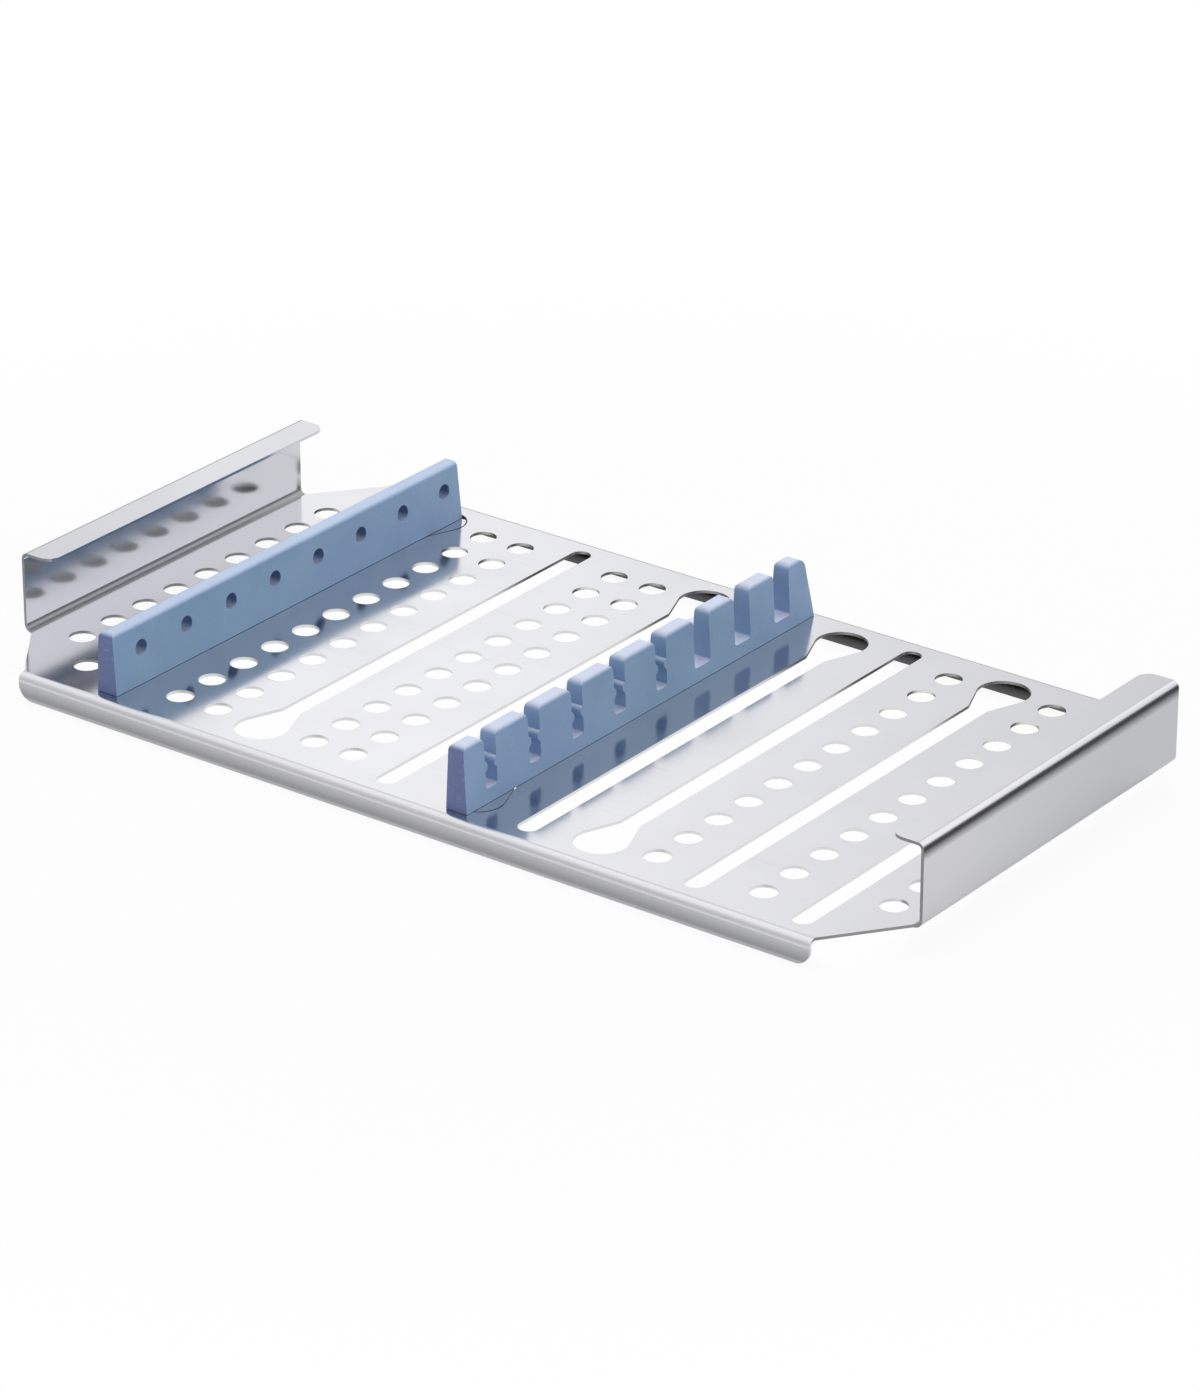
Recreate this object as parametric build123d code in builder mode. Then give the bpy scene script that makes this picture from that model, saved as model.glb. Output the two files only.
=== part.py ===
"""Dental instrument cassette: a perforated sheet-steel tray with two silicone bars.

The tray is one folded sheet: a flat floor with drain holes and keyhole slots, lips folded
down along the two long edges, and plain walls folded up at the two short ends, each with a
narrow flange folded inwards at the top. The rest bar and the notched bar stand across the
tray, each over a keyhole slot. A bar is a silicone moulding around a steel core strip, and two
steel pieces are riveted to that strip. At one end a headed stud hangs in the narrow end of the
slot. At the other end a plate fills the bulb of the slot. Lifted there, the bar tilts up about
its stud end, then slides along the slot until the stud's head comes out through the bulb.

Frame: origin at the middle of the tray on the surface that it stands on. X runs along the
tray, Y across it and Z up. Millimetres.
"""
import math
import os

from build123d import *

# Tray
LENGTH = 280.6          # outside the end walls
WIDTH = 153.8           # outside the side lips
HEIGHT = 28.7           # bottom of the lips to the top of the flanges
SHEET = 0.8             # sheet thickness
FLOOR_TOP = 7.0         # upper face of the tray floor
LIP_LENGTH = 246.5      # straight side lips, along X
WALL_WIDTH = 111.8      # end walls, along Y
WALL_MIDDLE = 0.6       # Y of their middle
FLANGE_WIDTH = 10.0     # top flange, measured from the outside of its wall
LIP_BEND = 2.2          # outer radii of the three folds
WALL_BEND = 2.4
FLANGE_BEND = 1.9
FLANGE_CORNER = 3.8     # rounded free corners of the flanges
LIP_CORNER = 4.2        # rounded lower corners of the side lips
BEND_OVERLAP = 2.0      # how far a folded strip is let into the floor

# Perforation, on a grid that is counted from its first full column of holes
PITCH = 12.5
GRID_X = -81.3          # where that first column lies
HOLE_DIAMETER = 7.2
FULL_COLUMNS = [-2.5, 0, 1, 3.5, 4.5, 12, 14.5]   # pitches from GRID_X, eleven holes each
SHORT_COLUMNS = [-3.5, 16.8]                      # beside the walls, nine holes each
FULL_ROWS = 11
SHORT_ROWS = 9

# Keyhole slots, across the tray
SLOT_WIDTH = 5.7
SLOT_LENGTH = 142.4
BULB_DIAMETER = 14.0
SHOULDER = 11.8         # bulb centre to where the slot has narrowed to its own width
FRONT, BACK = -1, 1     # the end of a slot that its bulb is at
REST_SLOT = (-1.25, BACK)
NOTCHED_SLOT = (7.75, FRONT)
FREE_SLOTS = [(2.25, FRONT), (5.75, BACK), (9.25, BACK), (10.75, FRONT), (13.25, BACK), (15.75, BACK)]

# Silicone bars
REST_HEIGHT = 16.6
NOTCHED_HEIGHT = 17.7
BAR_FOOT = 6.4          # thickness at the tray floor
BAR_TOP = 4.5           # thickness at the top
BAR_EDGE = 1.3          # rounded top edges
REST_ENDS = (-72.6, 69.1)
NOTCHED_ENDS = (-72.9, 74.0)
REST_SETBACK = 0.9      # the back end leans in by this much at the top
NOTCHED_SETBACK = 3.8
END_ROUNDING = 1.6      # top corners of the rest bar's front end and the notched bar's
REST_BACK_ROUNDING = 4.0
NOTCHED_BACK_ROUNDING = 3.8
STATIONS = 8            # instrument places
REST_STATION_PITCH = 17.75
REST_STATION_MIDDLE = 0.0
REST_HOLE_DIAMETER = 4.4
REST_HOLE_HEIGHT = 9.8  # above the tray floor
NOTCHED_STATION_PITCH = 17.5
NOTCHED_STATION_MIDDLE = -1.3
NARROW_STATIONS = 5     # from the front; the others are wide
NOTCH_FLOOR = 3.9       # above the tray floor
NARROW_NOTCH = 4.6
WIDE_NOTCH = 6.8
NIB_GAP = 2.6           # between the two nibs that hold an instrument in a narrow notch
NIB_HEIGHT = 9.8
NIB_RADIUS = 1.5
MOUTH_ROUNDING = 1.9    # where a notch opens at the top
NOTCH_ROUNDING = 0.9    # at the bottom of a notch

# Steel core, headed stud and bulb plate
CORE_WIDTH = 4.0
CORE_THICKNESS = 1.2
CORE_HEIGHT = 1.0       # silicone under the core strip
CORE_INSET = 1.6        # silicone at each end of it
HEAD_GAP = 1.3          # under the tray floor, so that the bar can tilt
HEAD_DIAMETER = 9.0
HEAD_THICKNESS = 1.5
NECK_DIAMETER = 5.0
SHANK_DIAMETER = 2.4
RIVET_DIAMETER = 3.4
RIVET_HEIGHT = 0.7
NECK_PLAY = 0.5         # between a stud's neck and the end of the slot
FOOT_GAP = 0.1          # between a bar's foot and the tray floor
PLATE_PLAY = 0.38       # between a bulb plate and the edge of the bulb
PLATE_REACH = 1.4       # below the underside of the tray floor, whose top it is level with
PLATE_TIP = 1.2         # the plate stops this far short of the end of the bulb's shoulder
PLATE_ROUNDING = 0.5
PLATE_SETBACK = 0.3     # from the end of the bar that the plate is under

FLOOR_UNDERSIDE = FLOOR_TOP - SHEET
BAR_BASE = FLOOR_TOP + FOOT_GAP
CORE_BASE = BAR_BASE + CORE_HEIGHT
CORE_CREST = CORE_BASE + CORE_THICKNESS
sheet_middle = FLOOR_TOP - SHEET / 2
flange_middle = HEIGHT - SHEET / 2
fold_x = LENGTH / 2 - WALL_BEND         # the flat floor ends here
fold_y = WIDTH / 2 - LIP_BEND
wall_front_y, wall_back_y = WALL_MIDDLE - WALL_WIDTH / 2, WALL_MIDDLE + WALL_WIDTH / 2
BULB_CENTRE = (SLOT_LENGTH - BULB_DIAMETER) / 2
STUD_PLACE = (SLOT_LENGTH - NECK_DIAMETER) / 2 - NECK_PLAY


def grid_x(column):
    """X of a place that is counted in pitches from the first full column."""
    return GRID_X + PITCH * column


def rows(count):
    """Y of each hole in a column, which is centred on the tray."""
    return [PITCH * (row - (count - 1) / 2) for row in range(count)]


def folded_strip(plane, width, points, radii):
    """A folded strip of sheet: its middle line in the plane, swept across a width."""
    with BuildPart() as strip:
        with BuildSketch(plane.offset(-width / 2)):
            with BuildLine():
                FilletPolyline(*points, radius=radii)
            trace(line_width=SHEET)
        extrude(amount=width)
    return strip


def side_lip(side):
    """The lip along one long edge, folded down to the surface that the tray stands on."""
    lip_y = side * (WIDTH - SHEET) / 2
    points = [(side * (fold_y - BEND_OVERLAP), sheet_middle), (lip_y, sheet_middle), (lip_y, 0)]
    return folded_strip(Plane.YZ, LIP_LENGTH, points, LIP_BEND - SHEET / 2)


def end_wall(side):
    """The wall at one short end, folded up, with its flange folded inwards."""
    wall_x = side * (LENGTH - SHEET) / 2
    points = [
        (side * (fold_x - BEND_OVERLAP), sheet_middle),
        (wall_x, sheet_middle),
        (wall_x, flange_middle),
        (side * (LENGTH / 2 - FLANGE_WIDTH), flange_middle),
    ]
    radii = [WALL_BEND - SHEET / 2, FLANGE_BEND - SHEET / 2]
    return folded_strip(Plane.XZ.offset(-WALL_MIDDLE), WALL_WIDTH, points, radii)


def bulb(x, bulb_end, play, reach, mode):
    """Sketch a keyhole's bulb and its shoulder, drawn in by some play and as long as the reach."""
    half, radius = SLOT_WIDTH / 2 - play, BULB_DIAMETER / 2 - play
    angle = math.atan2(SHOULDER, half) - math.acos(radius / math.hypot(half, SHOULDER))
    wide_x, wide_y = radius * math.cos(angle), radius * math.sin(angle)
    reach_x = half + (wide_x - half) * (SHOULDER - reach) / (SHOULDER - wide_y)
    y, way = bulb_end * BULB_CENTRE, -bulb_end
    with Locations((x, y)):
        Circle(radius, mode=mode)
    Polygon(
        (x - wide_x, y + way * wide_y), (x + wide_x, y + way * wide_y),
        (x + reach_x, y + way * reach), (x - reach_x, y + way * reach),
        align=None, mode=mode,
    )


def keyhole(column, bulb_end):
    """Cut one keyhole slot: a long narrow slot that widens into a round bulb at one end."""
    half = SLOT_WIDTH / 2
    x, bulb_y, narrow_y = grid_x(column), bulb_end * BULB_CENTRE, -bulb_end * (SLOT_LENGTH / 2 - half)
    bulb(x, bulb_end, 0, SHOULDER, Mode.SUBTRACT)
    with Locations((x, (bulb_y + narrow_y) / 2)):
        Rectangle(SLOT_WIDTH, abs(narrow_y - bulb_y), mode=Mode.SUBTRACT)
    with Locations((x, narrow_y)):
        Circle(half, mode=Mode.SUBTRACT)


# ---------------------------------------------------------------- tray
folded_edges = [side_lip(-1), side_lip(1), end_wall(-1), end_wall(1)]

with BuildPart() as tray:
    with BuildSketch(Plane.XY.offset(FLOOR_UNDERSIDE)):
        Polygon(
            (LIP_LENGTH / 2, fold_y), (fold_x, wall_back_y), (fold_x, wall_front_y),
            (LIP_LENGTH / 2, -fold_y), (-LIP_LENGTH / 2, -fold_y), (-fold_x, wall_front_y),
            (-fold_x, wall_back_y), (-LIP_LENGTH / 2, fold_y),
            align=None,
        )
        with Locations(*[(grid_x(c), y) for c in FULL_COLUMNS for y in rows(FULL_ROWS)]):
            Circle(HOLE_DIAMETER / 2, mode=Mode.SUBTRACT)
        with Locations(*[(grid_x(c), y) for c in SHORT_COLUMNS for y in rows(SHORT_ROWS)]):
            Circle(HOLE_DIAMETER / 2, mode=Mode.SUBTRACT)
        for slot_column, slot_bulb in [REST_SLOT, NOTCHED_SLOT, *FREE_SLOTS]:
            keyhole(slot_column, slot_bulb)
    extrude(amount=SHEET)
    for edge in folded_edges:
        add(edge.part)
    flange_sides = tray.edges().filter_by(Axis.Z).group_by(Axis.Z)[-1]
    fillet(flange_sides.filter_by(lambda e: abs(e.center().X) < LENGTH / 2 - FLANGE_BEND), FLANGE_CORNER)
    lip_corners = tray.edges().filter_by(Axis.Y).group_by(Axis.Z)[0]
    fillet(lip_corners, LIP_CORNER)
tray.part.label = "tray"


# ---------------------------------------------------------------- studs, plates and cores
def turned(x, y, steps):
    """A stack of round steps, each given as its diameter, base and top."""
    with BuildPart() as stack:
        for diameter, base, top in steps:
            with Locations((x, y, base)):
                Cylinder(diameter / 2, top - base, align=(Align.CENTER, Align.CENTER, Align.MIN))
    return stack


def riveted_neck(x, y):
    """What a stud and a plate share: a neck up to the core and a shank riveted over it."""
    return turned(x, y, [
        (NECK_DIAMETER, FLOOR_UNDERSIDE, CORE_BASE),
        (SHANK_DIAMETER, CORE_BASE, CORE_CREST),
        (RIVET_DIAMETER, CORE_CREST, CORE_CREST + RIVET_HEIGHT),
    ])


def headed_stud(x, y):
    """A headed stud: head under the tray floor, neck in the slot, shank riveted over the core."""
    head_top = FLOOR_UNDERSIDE - HEAD_GAP
    with BuildPart() as stud:
        add(turned(x, y, [
            (HEAD_DIAMETER, head_top - HEAD_THICKNESS, head_top),
            (NECK_DIAMETER, head_top, FLOOR_UNDERSIDE),
        ]).part)
        add(riveted_neck(x, y).part)
        rims = stud.edges().filter_by(GeomType.CIRCLE)
        fillet(rims.group_by(Axis.Z)[0], HEAD_THICKNESS / 3)
        fillet(rims.group_by(Axis.Z)[-1], RIVET_HEIGHT / 2)
    return stud


def bulb_plate(x, bulb_end, ends):
    """The steel plate that fills a bulb, level with the tray floor, as far as its bar reaches."""
    front, back = ends[0] + PLATE_SETBACK, ends[1] - PLATE_SETBACK
    with BuildPart() as plate:
        with BuildSketch(Plane.XY.offset(FLOOR_UNDERSIDE - PLATE_REACH)):
            bulb(x, bulb_end, PLATE_PLAY, SHOULDER - PLATE_TIP, Mode.ADD)
            with Locations((x, (front + back) / 2)):
                Rectangle(BULB_DIAMETER, back - front, mode=Mode.INTERSECT)
        extrude(amount=SHEET + PLATE_REACH)
        fillet(plate.edges().group_by(Axis.Z)[0], PLATE_ROUNDING)
        add(riveted_neck(x, bulb_end * BULB_CENTRE).part)
        rims = plate.edges().filter_by(GeomType.CIRCLE)
        fillet(rims.group_by(Axis.Z)[-1], RIVET_HEIGHT / 2)
    return plate


def core_strip(x, ends, stud, plate):
    """The flat steel strip inside a bar, with holes for the shanks of its stud and plate."""
    front, back = ends[0] + CORE_INSET, ends[1] - CORE_INSET
    with BuildPart() as core:
        with BuildSketch(Plane.XY.offset(CORE_BASE)):
            with Locations((x, (front + back) / 2)):
                SlotOverall(back - front, CORE_WIDTH, rotation=90)
        extrude(amount=CORE_THICKNESS)
        add(stud.part, mode=Mode.SUBTRACT)
        add(plate.part, mode=Mode.SUBTRACT)
    return core


# ---------------------------------------------------------------- silicone bars
def stations(pitch, middle):
    """Y of each instrument place along a bar, from the front."""
    return [middle + pitch * (place - (STATIONS - 1) / 2) for place in range(STATIONS)]


def bar_outline(ends, setback, crest):
    """Sketch a bar from the side: upright front end, back end that leans in at the top."""
    Polygon(
        (ends[0], BAR_BASE), (ends[1], BAR_BASE), (ends[1] - setback, crest), (ends[0], crest),
        align=None,
    )


def notch(y, width, nibs):
    """Cut one notch, with a nib on each side that an instrument snaps past if it has them."""
    depth = NOTCHED_HEIGHT - NOTCH_FLOOR
    with Locations((y, BAR_BASE + NOTCH_FLOOR + depth / 2)):
        Rectangle(width, depth, mode=Mode.SUBTRACT)
    if nibs:
        reach = NIB_GAP / 2 + NIB_RADIUS
        with Locations((y - reach, BAR_BASE + NIB_HEIGHT), (y + reach, BAR_BASE + NIB_HEIGHT)):
            Circle(NIB_RADIUS)


def bar_section(x, crest):
    """A bar's cross-section, swept past both of its ends: a wide foot and a rounded top."""
    with BuildPart() as section:
        with BuildSketch(Plane.XZ.offset(-WIDTH / 2)) as profile:
            Polygon(
                (x - BAR_FOOT / 2, BAR_BASE), (x + BAR_FOOT / 2, BAR_BASE),
                (x + BAR_TOP / 2, crest), (x - BAR_TOP / 2, crest),
                align=None,
            )
            fillet(profile.vertices().group_by(Axis.Y)[-1], BAR_EDGE)
        extrude(amount=WIDTH)
    return section


rest_x, rest_bulb = grid_x(REST_SLOT[0]), REST_SLOT[1]
rest_crest = BAR_BASE + REST_HEIGHT
rest_stud = headed_stud(rest_x, -rest_bulb * STUD_PLACE)
rest_stud.part.label = "rest_bar_stud"
rest_plate = bulb_plate(rest_x, rest_bulb, REST_ENDS)
rest_plate.part.label = "rest_bar_plate"
rest_core = core_strip(rest_x, REST_ENDS, rest_stud, rest_plate)
rest_core.part.label = "rest_bar_core"
rest_section = bar_section(rest_x, rest_crest)

with BuildPart() as rest_bar:
    with BuildSketch(Plane.YZ.offset(rest_x - BAR_FOOT / 2)) as rest_side:
        bar_outline(REST_ENDS, REST_SETBACK, rest_crest)
        rest_corners = rest_side.vertices().group_by(Axis.Y)[-1].sort_by(Axis.X)
        fillet(rest_corners[0], END_ROUNDING)
        fillet(rest_corners[-1], REST_BACK_ROUNDING)
        holes_z = BAR_BASE + REST_HOLE_HEIGHT
        with Locations(*[(y, holes_z) for y in stations(REST_STATION_PITCH, REST_STATION_MIDDLE)]):
            Circle(REST_HOLE_DIAMETER / 2, mode=Mode.SUBTRACT)
    extrude(amount=BAR_FOOT)
    add(rest_section.part, mode=Mode.INTERSECT)
    for piece in [rest_core, rest_stud, rest_plate]:
        add(piece.part, mode=Mode.SUBTRACT)
rest_bar.part.label = "rest_bar"

notched_x, notched_bulb = grid_x(NOTCHED_SLOT[0]), NOTCHED_SLOT[1]
notched_crest = BAR_BASE + NOTCHED_HEIGHT
notched_stud = headed_stud(notched_x, -notched_bulb * STUD_PLACE)
notched_stud.part.label = "notched_bar_stud"
notched_plate = bulb_plate(notched_x, notched_bulb, NOTCHED_ENDS)
notched_plate.part.label = "notched_bar_plate"
notched_core = core_strip(notched_x, NOTCHED_ENDS, notched_stud, notched_plate)
notched_core.part.label = "notched_bar_core"
notched_section = bar_section(notched_x, notched_crest)

with BuildPart() as notched_bar:
    with BuildSketch(Plane.YZ.offset(notched_x - BAR_FOOT / 2)) as notched_side:
        bar_outline(NOTCHED_ENDS, NOTCHED_SETBACK, notched_crest)
        for place, y in enumerate(stations(NOTCHED_STATION_PITCH, NOTCHED_STATION_MIDDLE)):
            narrow = place < NARROW_STATIONS
            notch(y, NARROW_NOTCH if narrow else WIDE_NOTCH, nibs=narrow)
        at_notch_floor = notched_side.vertices().filter_by(lambda v: abs(v.Y - BAR_BASE - NOTCH_FLOOR) < 0.01)
        fillet(at_notch_floor, NOTCH_ROUNDING)
        top_corners = notched_side.vertices().group_by(Axis.Y)[-1].sort_by(Axis.X)
        fillet(top_corners[:-1], MOUTH_ROUNDING)
        fillet(notched_side.vertices().group_by(Axis.Y)[-1].sort_by(Axis.X)[-1], NOTCHED_BACK_ROUNDING)
    extrude(amount=BAR_FOOT)
    add(notched_section.part, mode=Mode.INTERSECT)
    for piece in [notched_core, notched_stud, notched_plate]:
        add(piece.part, mode=Mode.SUBTRACT)
notched_bar.part.label = "notched_bar"


# ---------------------------------------------------------------- one file for each piece
os.makedirs("parts", exist_ok=True)
export_step(tray.part, "parts/tray.step")
export_step(rest_bar.part, "parts/rest_bar.step")
export_step(rest_core.part, "parts/rest_bar_core.step")
export_step(rest_stud.part, "parts/rest_bar_stud.step")
export_step(rest_plate.part, "parts/rest_bar_plate.step")
export_step(notched_bar.part, "parts/notched_bar.step")
export_step(notched_core.part, "parts/notched_bar_core.step")
export_step(notched_stud.part, "parts/notched_bar_stud.step")
export_step(notched_plate.part, "parts/notched_bar_plate.step")
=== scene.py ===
"""Looks of the instrument cassette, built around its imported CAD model. Metres, row frame."""
import math

import bpy
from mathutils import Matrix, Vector


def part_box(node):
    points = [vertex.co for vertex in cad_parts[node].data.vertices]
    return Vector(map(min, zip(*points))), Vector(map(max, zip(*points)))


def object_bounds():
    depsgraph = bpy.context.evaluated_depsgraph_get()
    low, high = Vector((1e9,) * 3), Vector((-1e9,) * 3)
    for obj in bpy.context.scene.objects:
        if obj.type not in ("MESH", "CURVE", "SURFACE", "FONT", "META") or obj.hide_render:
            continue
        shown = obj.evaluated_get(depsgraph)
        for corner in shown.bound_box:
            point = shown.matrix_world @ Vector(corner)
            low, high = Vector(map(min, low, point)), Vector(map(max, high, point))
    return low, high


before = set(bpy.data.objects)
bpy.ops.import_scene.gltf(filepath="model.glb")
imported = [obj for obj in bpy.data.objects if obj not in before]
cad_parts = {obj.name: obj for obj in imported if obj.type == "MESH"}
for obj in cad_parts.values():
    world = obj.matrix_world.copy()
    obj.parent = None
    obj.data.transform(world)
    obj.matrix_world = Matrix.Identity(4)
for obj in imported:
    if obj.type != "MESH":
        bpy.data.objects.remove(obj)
cad_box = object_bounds()
REACH_X, REACH_Y, TOP = cad_box[1]      # the tray is as wide on both sides of X = 0 and of Y = 0

# Camera
CAMERA_PLACE = Vector((0.83733, -1.11130, 0.66086))
CAMERA_AZIMUTH = math.radians(36.846)   # the view looks along +Y when this is zero
CAMERA_DOWN = math.radians(25.189)
CAMERA_LENS, CAMERA_SENSOR = 156.98, 36.0           # mm

# Studio. Ways are azimuth from +X towards +Y, then height, in degrees.
BACK_WAY = (60, 27)         # a pale wall behind the right-hand end
BACK_LEVEL = 1.25
PANEL_WAY = (129.5, 25.5)   # middle of a bright panel behind the left-hand end
PANEL_SPREAD = 0.018        # squared half-width of its soft edge, radians
PANEL_LEVEL = 0.60
DARK_WAY = (52, 0)          # where the room is dark near the floor
DARK_LEVEL = 0.05
FRONT_WAY = (-70, 0)        # the photographer's side of the room, dimmer than the rest
FRONT_LEVEL = 0.72
LAMP_PLACE = (-0.45, 0.55, 2.0)
LAMP_SIZE = (1.2, 1.2)
LAMP_POWER = 14.0           # watts

# Floor. A shade is the part of its light that a reflection misses, over a range of X or Y.
FLOOR_SIZE = 14.0
UNDER_X = (REACH_X - 0.012, REACH_X - 0.002)    # the tray covers the floor up to these edges
UNDER_Y = (REACH_Y - 0.006, REACH_Y)
SHADOW_REACH = (0.16, 0.42)                     # how far from the middle the tray's shadow shows
BACK_SHADE_Y = (0.046, 0.057)                   # under the tray's back edge
LEFT_SHADE_X = (-0.090, -0.100)                 # under its left end
LEFT_SHADE = 0.8
LIP_FOOT_Y = (-0.0785, -0.0772)                 # in front of the front lip
LIP_NEAR_Y, LIP_NEAR_SHADES = (-0.0870, -0.0795), (0.12, 0.60)
LIP_FAR_Y, LIP_FAR_SHADES = (-0.0970, -0.0880), (0.34, 0.12)

# Places in the tray that its steel follows
SHEET_TOP, SHEET_UNDERSIDE = 0.0070, 0.0062
FOLD_X = 0.1379             # the end walls' lower bends are masked from here outwards
FLANGE_BEND = 0.0019        # outer radius of the bend between an end wall and its flange
LIP_BEND = 0.0022           # the same between the floor sheet and a lip
CHAMFER_WAY = (0.779, 0.627)            # across the four slanting edges, in X and Y
CHAMFER_REACH = 0.1413
WALL_SHADE_Y = (-0.045, 0.030)          # painted shade on the end walls' outsides grows along this, so they darken towards the back
LEFT_FLANGE_X = (-0.120, -0.115)        # the left flange ends before this
FLANGE_SHADE_Y = (-0.032, 0.012)        # it gets paler along this, as its painted shade fades
SEAM = 0.0075               # half the width of a band where a bar's plate fills a bulb; the cut edges there carry painted shade

# Places in the bars that their silicone follows
BAR_ENDS = 0.0670           # the notches and the cross holes lie nearer to Y = 0 than this
POCKET_TOP = 0.0228         # painted shade makes them a deeper blue below this height
BETWEEN_BARS_X = (-0.04, -0.03)         # the rest bar is on its left, the notched bar on its right

BARS = ("rest_bar", "notched_bar")

bpy.context.scene.view_settings.view_transform = "Standard"


# ---------------------------------------------------------------- camera
def add_camera():
    """The camera from which the tray looks as in the photograph."""
    data = bpy.data.cameras.new("camera")
    data.lens = CAMERA_LENS
    data.sensor_width = CAMERA_SENSOR
    data.clip_start, data.clip_end = 0.01, 50.0
    camera = bpy.data.objects.new("camera", data)
    flat = math.cos(CAMERA_DOWN)
    forward = Vector((-flat * math.sin(CAMERA_AZIMUTH),
                      flat * math.cos(CAMERA_AZIMUTH),
                      -math.sin(CAMERA_DOWN)))
    camera.location = CAMERA_PLACE
    camera.rotation_euler = forward.to_track_quat("-Z", "Y").to_euler()
    bpy.context.scene.collection.objects.link(camera)
    bpy.context.scene.camera = camera


# ---------------------------------------------------------------- node helpers
class Graph:
    """A node tree with short calls to add and join nodes."""

    def __init__(self, tree):
        self.tree = tree
        tree.nodes.clear()

    def put(self, socket, value):
        if isinstance(value, bpy.types.NodeSocket):
            self.tree.links.new(value, socket)
        else:
            socket.default_value = value

    def add(self, kind, inputs=None, **settings):
        node = self.tree.nodes.new(kind)
        for name, value in settings.items():
            setattr(node, name, value)
        for name, value in (inputs or {}).items():
            self.put(node.inputs[name], value)
        return node

    # Numbers
    def math(self, operation, a, b=0.0):
        return self.add("ShaderNodeMath", {0: a, 1: b}, operation=operation).outputs[0]

    def plus(self, a, b):
        return self.math("ADD", a, b)

    def minus(self, a, b):
        return self.math("SUBTRACT", a, b)

    def times(self, a, b):
        return self.math("MULTIPLY", a, b)

    def larger(self, a, b):
        return self.math("MAXIMUM", a, b)

    def abs(self, a):
        return self.math("ABSOLUTE", a)

    def ramp(self, value, low, high, to_low=0.0, to_high=1.0, smooth=False):
        """A value from low to high, carried over to the range to_low to to_high and held beyond it."""
        node = self.add("ShaderNodeMapRange", {"Value": value, "From Min": low, "From Max": high,
                                               "To Min": to_low, "To Max": to_high})
        if smooth:
            node.interpolation_type = "SMOOTHSTEP"
        return node.outputs["Result"]

    def fade(self, value, low, high):
        """1 up to low, 0 from high."""
        return self.ramp(value, low, high, 1.0, 0.0)

    def blend(self, factor, a, b):
        return self.add("ShaderNodeMix", {0: factor, 2: a, 3: b}).outputs[0]

    # Directions and places
    def split(self, vector):
        return self.add("ShaderNodeSeparateXYZ", {"Vector": vector}).outputs

    def toward(self, vector, way):
        """How nearly a direction points along an (azimuth, height) in degrees: its cosine."""
        azimuth, height = (math.radians(angle) for angle in way)
        aim = (math.cos(azimuth) * math.cos(height), math.sin(azimuth) * math.cos(height), math.sin(height))
        return self.add("ShaderNodeVectorMath", {0: vector, 1: aim}, operation="DOT_PRODUCT").outputs["Value"]

    def place(self):
        return self.add("ShaderNodeTexCoord").outputs["Object"]

    def face_normal(self):
        return self.split(self.add("ShaderNodeNewGeometry").outputs["True Normal"])

    def stretched(self, factors, turn=0.0):
        return self.add("ShaderNodeMapping", {"Vector": self.place(), "Scale": factors,
                                              "Rotation": (0, 0, math.radians(turn))}).outputs["Vector"]

    # Textures and surfaces
    def noise(self, vector, scale, detail=3.0, roughness=0.5):
        node = self.add("ShaderNodeTexNoise",
                        {"Vector": vector, "Scale": scale, "Detail": detail, "Roughness": roughness})
        return node.outputs["Fac"]

    def mix(self, factor, a, b):
        """A colour from a to b."""
        return self.add("ShaderNodeMix", {0: factor, 6: a, 7: b}, data_type="RGBA").outputs[2]

    def bump(self, height, strength, distance, normal=None):
        node = self.add("ShaderNodeBump", {"Height": height, "Strength": strength, "Distance": distance})
        if normal is not None:
            self.put(node.inputs["Normal"], normal)
        return node.outputs["Normal"]

    def surface(self, inputs):
        """The tree's one principled shader, joined to its output."""
        shader = self.add("ShaderNodeBsdfPrincipled", inputs)
        self.add("ShaderNodeOutputMaterial", {"Surface": shader.outputs[0]})


def material(name):
    made = bpy.data.materials.new(name)
    made.use_nodes = True
    return made, Graph(made.node_tree)


# ---------------------------------------------------------------- studio
def add_world():
    """A soft room: bright behind the tray and overhead, dim at the photographer's side."""
    world = bpy.data.worlds.new("studio")
    world.use_nodes = True
    bpy.context.scene.world = world
    g = Graph(world.node_tree)
    seen = g.add("ShaderNodeLightPath").outputs["Is Camera Ray"]
    way = g.add("ShaderNodeTexCoord").outputs["Generated"]
    height = g.split(way)["Z"]
    dome = g.plus(g.ramp(height, 0.0, 0.9, 0.52, 0.86), g.ramp(height, 0.5, 0.8, 0.0, 0.12))
    front = g.ramp(g.toward(way, FRONT_WAY), 0.2, 0.85, 1.0, FRONT_LEVEL)
    back = g.times(g.ramp(g.toward(way, BACK_WAY), 0.6, 0.85, smooth=True), g.ramp(height, 0.05, 0.25))
    room = g.blend(back, g.times(dome, front), BACK_LEVEL)
    away = g.times(g.minus(1.0, g.toward(way, PANEL_WAY)), -2.0 / PANEL_SPREAD)
    panel = g.times(g.math("EXPONENT", away), PANEL_LEVEL)
    dark = g.times(g.ramp(g.toward(way, DARK_WAY), 0.5, 0.85), g.ramp(height, 0.26, 0.12))
    level = g.times(g.plus(room, panel), g.ramp(dark, 0.0, 1.0, 1.0, DARK_LEVEL))
    soft = g.add("ShaderNodeBackground", {"Color": (1, 1, 1, 1), "Strength": level})
    white = g.add("ShaderNodeBackground", {"Color": (1, 1, 1, 1), "Strength": 1.0})
    both = g.add("ShaderNodeMixShader", {0: seen, 1: soft.outputs[0], 2: white.outputs[0]})
    g.add("ShaderNodeOutputWorld", {"Surface": both.outputs[0]})


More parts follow.
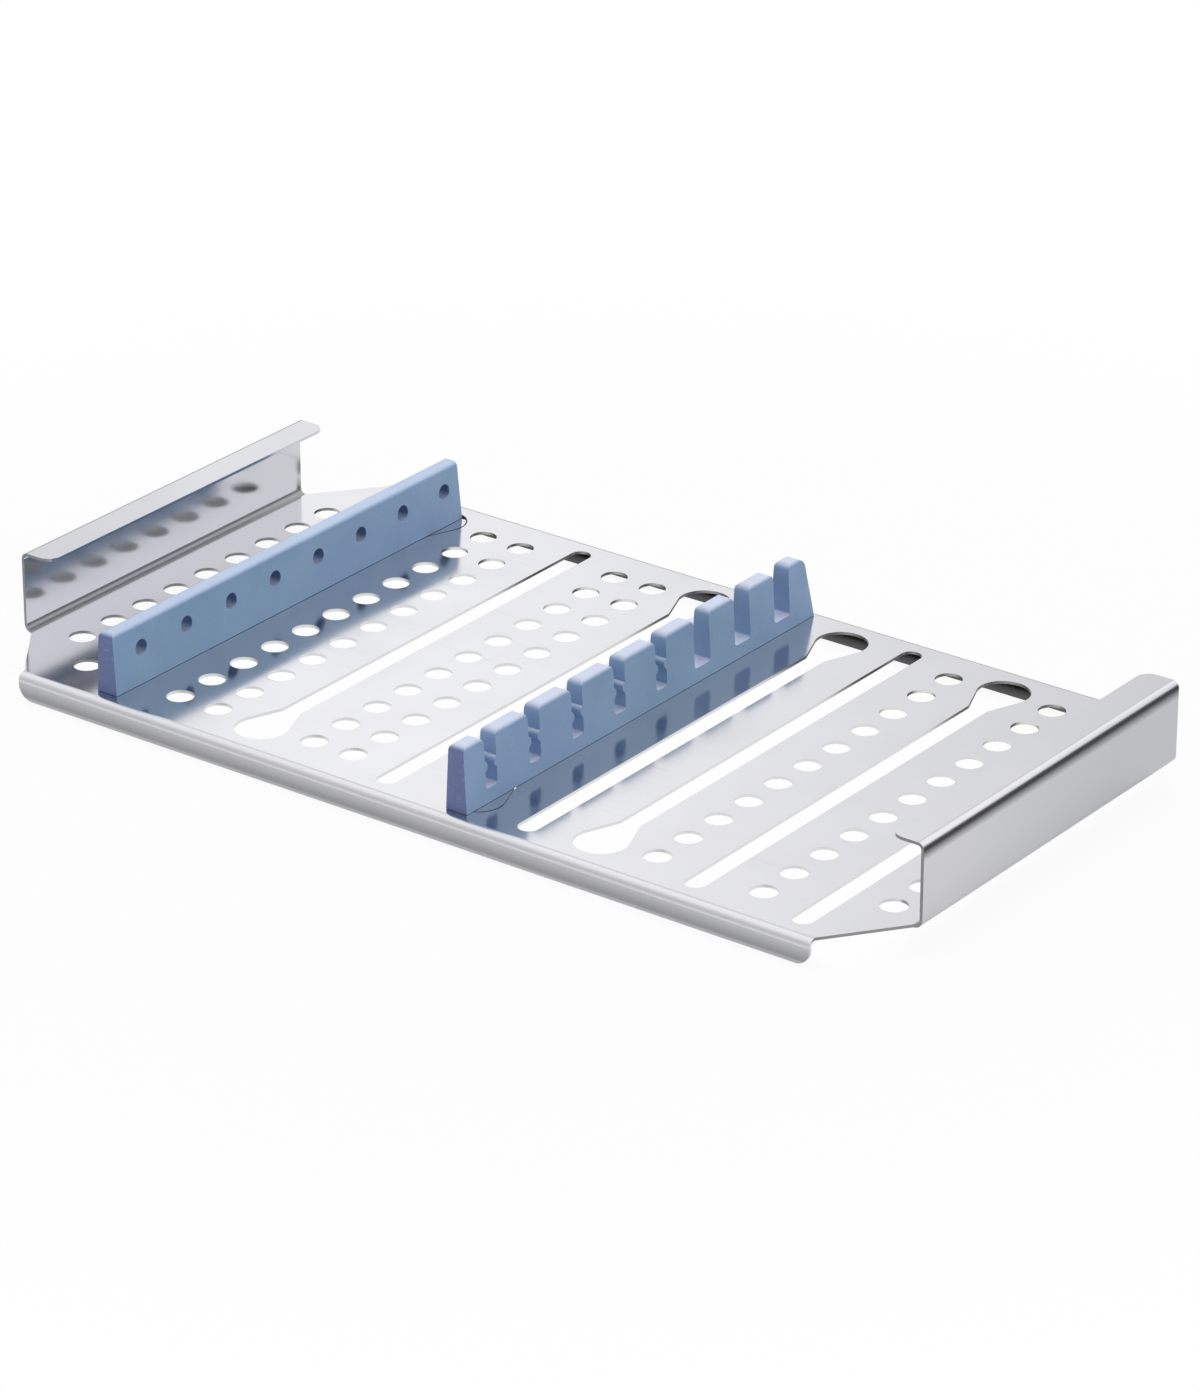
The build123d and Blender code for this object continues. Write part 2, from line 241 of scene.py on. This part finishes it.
def floor_glow(g, rays, apart, under, in_front):
    """How much of the floor is a plain white glow, by the kind of ray that meets it.

    The rest is paper that the lamp and the room light, and it is what takes the tray's shadow.
    """
    around = g.ramp(apart, *SHADOW_REACH, 0.92, 1.0, smooth=True)
    seen = g.blend(under, around, 0.985)
    mirrored = g.larger(g.ramp(under, 0.0, 1.0, 0.40, 0.8), g.times(in_front, 0.85))
    return g.plus(g.times(rays["Is Camera Ray"], seen),
                  g.plus(g.times(rays["Is Glossy Ray"], mirrored),
                         g.times(rays["Is Transmission Ray"], 0.5)))


def floor_shade(g, xyz, under, in_front):
    """How much of the glow is missing in reflections."""
    below = g.larger(g.ramp(xyz["Y"], *BACK_SHADE_Y), g.ramp(xyz["X"], *LEFT_SHADE_X, 0.0, LEFT_SHADE))
    by_lip = g.larger(g.ramp(xyz["Y"], *LIP_NEAR_Y, *LIP_NEAR_SHADES),
                      g.ramp(xyz["Y"], *LIP_FAR_Y, *LIP_FAR_SHADES))
    return g.larger(g.times(under, below), g.times(in_front, by_lip))


def floor_white():
    """Glow and lit paper, mixed."""
    made, g = material("floor")
    rays = g.add("ShaderNodeLightPath").outputs
    place = g.place()
    apart = g.add("ShaderNodeVectorMath", {0: place}, operation="LENGTH").outputs["Value"]
    xyz = g.split(place)
    under = g.times(g.fade(g.abs(xyz["X"]), *UNDER_X), g.fade(g.abs(xyz["Y"]), *UNDER_Y))
    in_front = g.fade(xyz["Y"], *LIP_FOOT_Y)
    shade = floor_shade(g, xyz, under, in_front)
    strength = g.minus(1.0, g.times(rays["Is Glossy Ray"], shade))
    paper = g.add("ShaderNodeBsdfDiffuse", {"Color": (0.72, 0.72, 0.72, 1)})
    glow = g.add("ShaderNodeEmission", {"Color": (1, 1, 1, 1), "Strength": strength})
    share = floor_glow(g, rays, apart, under, in_front)
    both = g.add("ShaderNodeMixShader", {0: share, 1: paper.outputs[0], 2: glow.outputs[0]})
    g.add("ShaderNodeOutputMaterial", {"Surface": both.outputs[0]})
    return made


def add_floor():
    """A white floor that keeps the tray's shadow.

    Reflections see it darker under the tray's back edge and left end, and in front of the lip.
    """
    half = FLOOR_SIZE / 2
    corners = [(-half, -half, 0), (half, -half, 0), (half, half, 0), (-half, half, 0)]
    mesh = bpy.data.meshes.new("floor")
    mesh.from_pydata(corners, [], [(0, 1, 2, 3)])
    floor = bpy.data.objects.new("floor", mesh)
    bpy.context.scene.collection.objects.link(floor)
    mesh.materials.append(floor_white())


def add_lamp():
    """A wide lamp over the back left, which isn't seen in reflections."""
    data = bpy.data.lights.new("key", "AREA")
    data.shape = "RECTANGLE"
    data.size, data.size_y = LAMP_SIZE
    data.energy = LAMP_POWER
    lamp = bpy.data.objects.new("key", data)
    lamp.visible_glossy = False
    lamp.location = LAMP_PLACE
    lamp.rotation_euler = (-Vector(LAMP_PLACE)).to_track_quat("-Z", "Y").to_euler()
    bpy.context.scene.collection.objects.link(lamp)


# ---------------------------------------------------------------- sheet steel
def scratches(g, turn, threshold):
    """Sparse hair-thin lines that run at an angle to X, as a height from 0 to 1."""
    lines = g.noise(g.stretched((22, 2600, 2600), turn), 1.0, 1.0)
    patches = g.noise(g.stretched((1, 1, 1)), 60.0, 2.0)
    return g.times(g.ramp(lines, threshold, threshold + 0.06), g.ramp(patches, 0.48, 0.62))


def sheet_edges(g, place, normal):
    """Masks of all the cut edges of the flat sheet, and of the slanting edges with the walls' ends."""
    out_x, out_y, height = g.abs(place["X"]), g.abs(place["Y"]), place["Z"]
    upright = g.fade(g.abs(normal["Z"]), 0.15, 0.35)
    in_sheet = g.times(g.ramp(height, SHEET_UNDERSIDE - 0.0001, SHEET_UNDERSIDE + 0.00002),
                       g.fade(height, SHEET_TOP - 0.00002, SHEET_TOP + 0.0001))
    cut_edge = g.times(upright, in_sheet)
    slant = g.plus(g.times(out_x, CHAMFER_WAY[0]), g.times(out_y, CHAMFER_WAY[1]))
    slanting = g.times(cut_edge, g.ramp(slant, CHAMFER_REACH, CHAMFER_REACH + 0.0004))
    wall_end = g.times(g.ramp(out_x, FOLD_X - 0.010, FOLD_X - 0.009),
                       g.ramp(g.abs(normal["Y"]), 0.5, 0.9))
    return cut_edge, g.larger(slanting, wall_end)


def sheet_bends(g, place, normal):
    """Masks of the end walls' lower bends, the flanges' outer bends and the lips' bends."""
    out_x, out_y, height = g.abs(place["X"]), g.abs(place["Y"]), place["Z"]
    below_top = g.minus(TOP, height)
    lower_bend = g.times(g.times(g.ramp(out_x, FOLD_X - 0.0004, FOLD_X + 0.0004),
                                 g.ramp(normal["Z"], 0.0, 0.05)),
                         g.fade(height, SHEET_TOP + 0.0014, SHEET_TOP + 0.0022))
    outside = g.times(g.ramp(out_x, REACH_X - FLANGE_BEND, REACH_X - FLANGE_BEND * 0.7),
                      g.ramp(g.times(place["X"], normal["X"]), 0.0, 0.01))
    upper_bend = g.times(outside, g.times(g.ramp(below_top, FLANGE_BEND * 0.28, FLANGE_BEND * 0.70),
                                          g.fade(below_top, FLANGE_BEND, FLANGE_BEND * 2.40)))
    lip_bend = g.times(g.ramp(out_y, REACH_Y - LIP_BEND, REACH_Y - LIP_BEND * 0.6),
                       g.ramp(height, SHEET_TOP - LIP_BEND * 1.1, SHEET_TOP - LIP_BEND * 0.8))
    return lower_bend, upper_bend, lip_bend


def sheet_shades(g, place, normal):
    """Masks of painted shade: the darker parts of the walls' outsides and the left flange, and the lips'
    insides.
    """
    walls = g.times(g.ramp(g.times(place["X"], normal["X"]), 0.05, 0.10), g.ramp(place["Y"], *WALL_SHADE_Y))
    on_flange = g.times(g.fade(g.minus(TOP, place["Z"]), 0.0002, 0.0006), g.fade(place["X"], *LEFT_FLANGE_X))
    flange = g.times(on_flange, g.ramp(place["Y"], *FLANGE_SHADE_Y, 1.0, 0.45))
    facing_in = g.math("LESS_THAN", g.times(place["Y"], normal["Y"]), -0.03)
    lip_inside = g.times(facing_in, g.fade(place["Z"], 0.0048, 0.0056))
    return g.larger(walls, flange), lip_inside


def sheet_steel(name, seams):
    """Electropolished sheet: a soft mirror with rolling lines, faint waves, and rougher bends and edges;
    painted light and shade lie on the bends, the edges, the walls' outsides, the left flange and the lips'
    insides.

    Its cut edges carry a painted dark blue shade within a seam, a band of X where something fills the cut.
    """
    made, g = material(name)
    wide = g.stretched((1, 1, 1))
    place = g.split(g.place())
    normal = g.face_normal()
    cut_edge, outline = sheet_edges(g, place, normal)
    lower_bend, upper_bend, lip_bend = sheet_bends(g, place, normal)
    painted_shade, lip_inside = sheet_shades(g, place, normal)
    rolling = g.noise(g.stretched((9, 900, 900)), 1.0, 4.0)
    hairs = g.larger(scratches(g, 24, 0.70), scratches(g, -61, 0.71))

    cool, warm, line = (0.650, 0.657, 0.700, 1), (0.695, 0.690, 0.706, 1), (0.675, 0.678, 0.706, 1)
    colour = g.mix(g.ramp(rolling, 0.35, 0.65), g.mix(g.noise(wide, 9.0, 2.0), cool, warm), line)
    for mask, tone in (
        # painted shade: the walls' outsides darker towards the back, the left flange darker at its front
        (painted_shade, (0.555, 0.560, 0.585, 1)),
        # painted shade: the end walls' lower bends a grey band
        (g.times(lower_bend, 0.9), (0.36, 0.355, 0.365, 1)),
        # painted reflection: the flanges' outer bends a nearly black band
        (g.times(upper_bend, 0.97), (0.05, 0.05, 0.06, 1)),
        # painted highlight: the lips' bends a pale band
        (lip_bend, (0.90, 0.90, 0.94, 1)),
        # painted shade: the lips' insides dark
        (g.times(lip_inside, 0.85), (0.15, 0.15, 0.15, 1)),
        # painted light: the cut edges a paler tone, so they show bright
        (cut_edge, (0.85, 0.85, 0.86, 1)),
        # painted shade: the slanting edges and the walls' ends darker
        (outline, (0.34, 0.34, 0.35, 1)),
    ):
        colour = g.mix(mask, colour, tone)
    for x in seams:
        near = g.fade(g.abs(g.minus(place["X"], x)), SEAM, SEAM + 0.0002)
        # painted shade on the cut edges beside each bar
        colour = g.mix(g.times(cut_edge, near), colour, (0.14, 0.18, 0.25, 1))

    smear = g.ramp(g.noise(wide, 38.0, 4.0), 0.3, 0.7, 0.10, 0.16)
    rough = g.plus(smear, g.times(hairs, 0.10))
    for mask, least in ((g.larger(cut_edge, outline), 0.38), (g.larger(lower_bend, upper_bend), 0.48),
                        (lip_bend, 0.40)):
        rough = g.larger(rough, g.times(mask, least))

    waves = g.bump(g.noise(wide, 16.0, 1.0), 0.10, 0.0008)
    lines = g.bump(rolling, 0.05, 0.00006, waves)
    nicked = g.bump(hairs, 0.10, 0.00003, lines)
    g.surface({"Base Color": colour, "Metallic": 1.0, "Roughness": rough, "Anisotropic": 0.25,
               "Normal": nicked})
    return made


# ---------------------------------------------------------------- other materials
def turned_steel(centre):
    """A turned stud: fine rings around its own axis, at centre (x, y)."""
    made, g = material("stud_steel")
    around = g.add("ShaderNodeMapping", {"Vector": g.place(), "Location": (-centre[0], -centre[1], 0)})
    flat = g.add("ShaderNodeVectorMath", {0: around.outputs["Vector"], 1: (1, 1, 0)}, operation="MULTIPLY")
    radius = g.add("ShaderNodeVectorMath", {0: flat.outputs["Vector"]}, operation="LENGTH").outputs["Value"]
    rings = g.noise(g.add("ShaderNodeCombineXYZ", {"X": g.times(radius, 9000.0)}).outputs[0], 1.0, 2.0)
    colour = g.mix(g.noise(g.stretched((1, 1, 1)), 300.0), (0.58, 0.58, 0.60, 1), (0.66, 0.65, 0.64, 1))
    g.surface({"Base Color": colour, "Metallic": 1.0, "Roughness": g.ramp(rings, 0.3, 0.7, 0.20, 0.34),
               "Normal": g.bump(rings, 0.25, 0.00004)})
    return made


def strip_steel():
    """The plain rolled strip inside a bar."""
    made, g = material("core_steel")
    grain = g.noise(g.stretched((2400, 18, 2400)), 1.0, 3.0)
    colour = g.mix(grain, (0.52, 0.52, 0.54, 1), (0.62, 0.62, 0.63, 1))
    g.surface({"Base Color": colour, "Metallic": 1.0, "Roughness": g.ramp(grain, 0.3, 0.7, 0.28, 0.42),
               "Normal": g.bump(grain, 0.15, 0.00004)})
    return made


def bar_places(g, place, normal):
    """Masks of the bars' tops, their front ends, and the pockets that are the notches and holes."""
    on_top = g.ramp(normal["Z"], 0.30, 0.85)
    front_end = g.times(g.fade(normal["Y"], -0.9, -0.5), g.fade(place["Y"], -BAR_ENDS, 0.001 - BAR_ENDS))
    across = g.fade(g.abs(normal["X"]), 0.3, 0.6)
    between_ends = g.fade(g.abs(place["Y"]), BAR_ENDS - 0.001, BAR_ENDS)
    pocket = g.times(g.times(across, between_ends), g.fade(place["Z"], POCKET_TOP - 0.002, POCKET_TOP))
    return on_top, front_end, pocket


def silicone():
    """Moulded silicone: satin skin, cloudy blue; paler on top by painted light, and a deeper blue at the
    front ends and in pockets by painted shade.
    """
    made, g = material("silicone")
    wide = g.stretched((1, 1, 1))
    place = g.split(g.place())
    on_top, front_end, pocket = bar_places(g, place, g.face_normal())
    painted_top_light = g.ramp(place["X"], *BETWEEN_BARS_X, 0.55, 0.95)
    painted_pocket_shade = g.times(g.ramp(place["X"], *BETWEEN_BARS_X, 0.85, 0.15), g.minus(1.0, on_top))

    cloud = g.ramp(g.noise(wide, 38.0, 4.0), 0.3, 0.7)
    drift = g.ramp(g.noise(wide, 11.0, 2.0), 0.45, 0.65)
    dust = g.ramp(g.noise(wide, 900.0, 2.0), 0.60, 0.78, 0.0, 0.22)
    colour = g.mix(cloud, (0.198, 0.350, 0.560, 1), (0.275, 0.445, 0.655, 1))
    for mask, tone in (
        (g.times(drift, 0.45), (0.235, 0.360, 0.630, 1)),
        # painted light: the tops paler, more so on the notched bar
        (g.times(on_top, painted_top_light), (0.560, 0.610, 0.760, 1)),
        # painted shade: the front ends a deep blue
        (g.times(front_end, 0.85), (0.095, 0.128, 0.345, 1)),
        # painted shade: the pockets a deep blue, more so on the rest bar
        (g.times(pocket, painted_pocket_shade), (0.055, 0.125, 0.290, 1)),
        (dust, (0.50, 0.60, 0.76, 1)),
    ):
        colour = g.mix(mask, colour, tone)

    peel = g.bump(g.noise(wide, 1500.0, 2.0), 0.22, 0.00008)
    flow = g.bump(g.noise(g.stretched((60, 14, 60)), 1.0, 2.0), 0.12, 0.0006, peel)
    g.surface({"Base Color": colour, "Roughness": g.ramp(g.noise(wide, 240.0), 0.3, 0.7, 0.36, 0.50),
               "Normal": flow, "Specular IOR Level": 0.8, "Sheen Weight": 0.06, "Sheen Roughness": 0.4,
               "Subsurface Weight": 0.06, "Subsurface Scale": 0.002})
    return made


# ---------------------------------------------------------------- the part
def dress(name, made):
    """Give a node of the CAD model one material."""
    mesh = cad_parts[name].data
    mesh.materials.clear()
    mesh.materials.append(made)


def middle(name):
    """The middle of a node's box."""
    low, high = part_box(name)
    return [(a + b) / 2 for a, b in zip(low, high)]


def dress_part():
    """Give every node its material; each stud has one of its own, for its rings."""
    sheet = sheet_steel("polished_steel", [middle(bar)[0] for bar in BARS])
    rubber, strip = silicone(), strip_steel()
    dress("tray", sheet)
    for bar in BARS:
        dress(bar, rubber)
        dress(bar + "_plate", sheet)
        dress(bar + "_core", strip)
        dress(bar + "_stud", turned_steel(middle(bar + "_stud")))


add_camera()
add_world()
add_floor()
add_lamp()
dress_part()
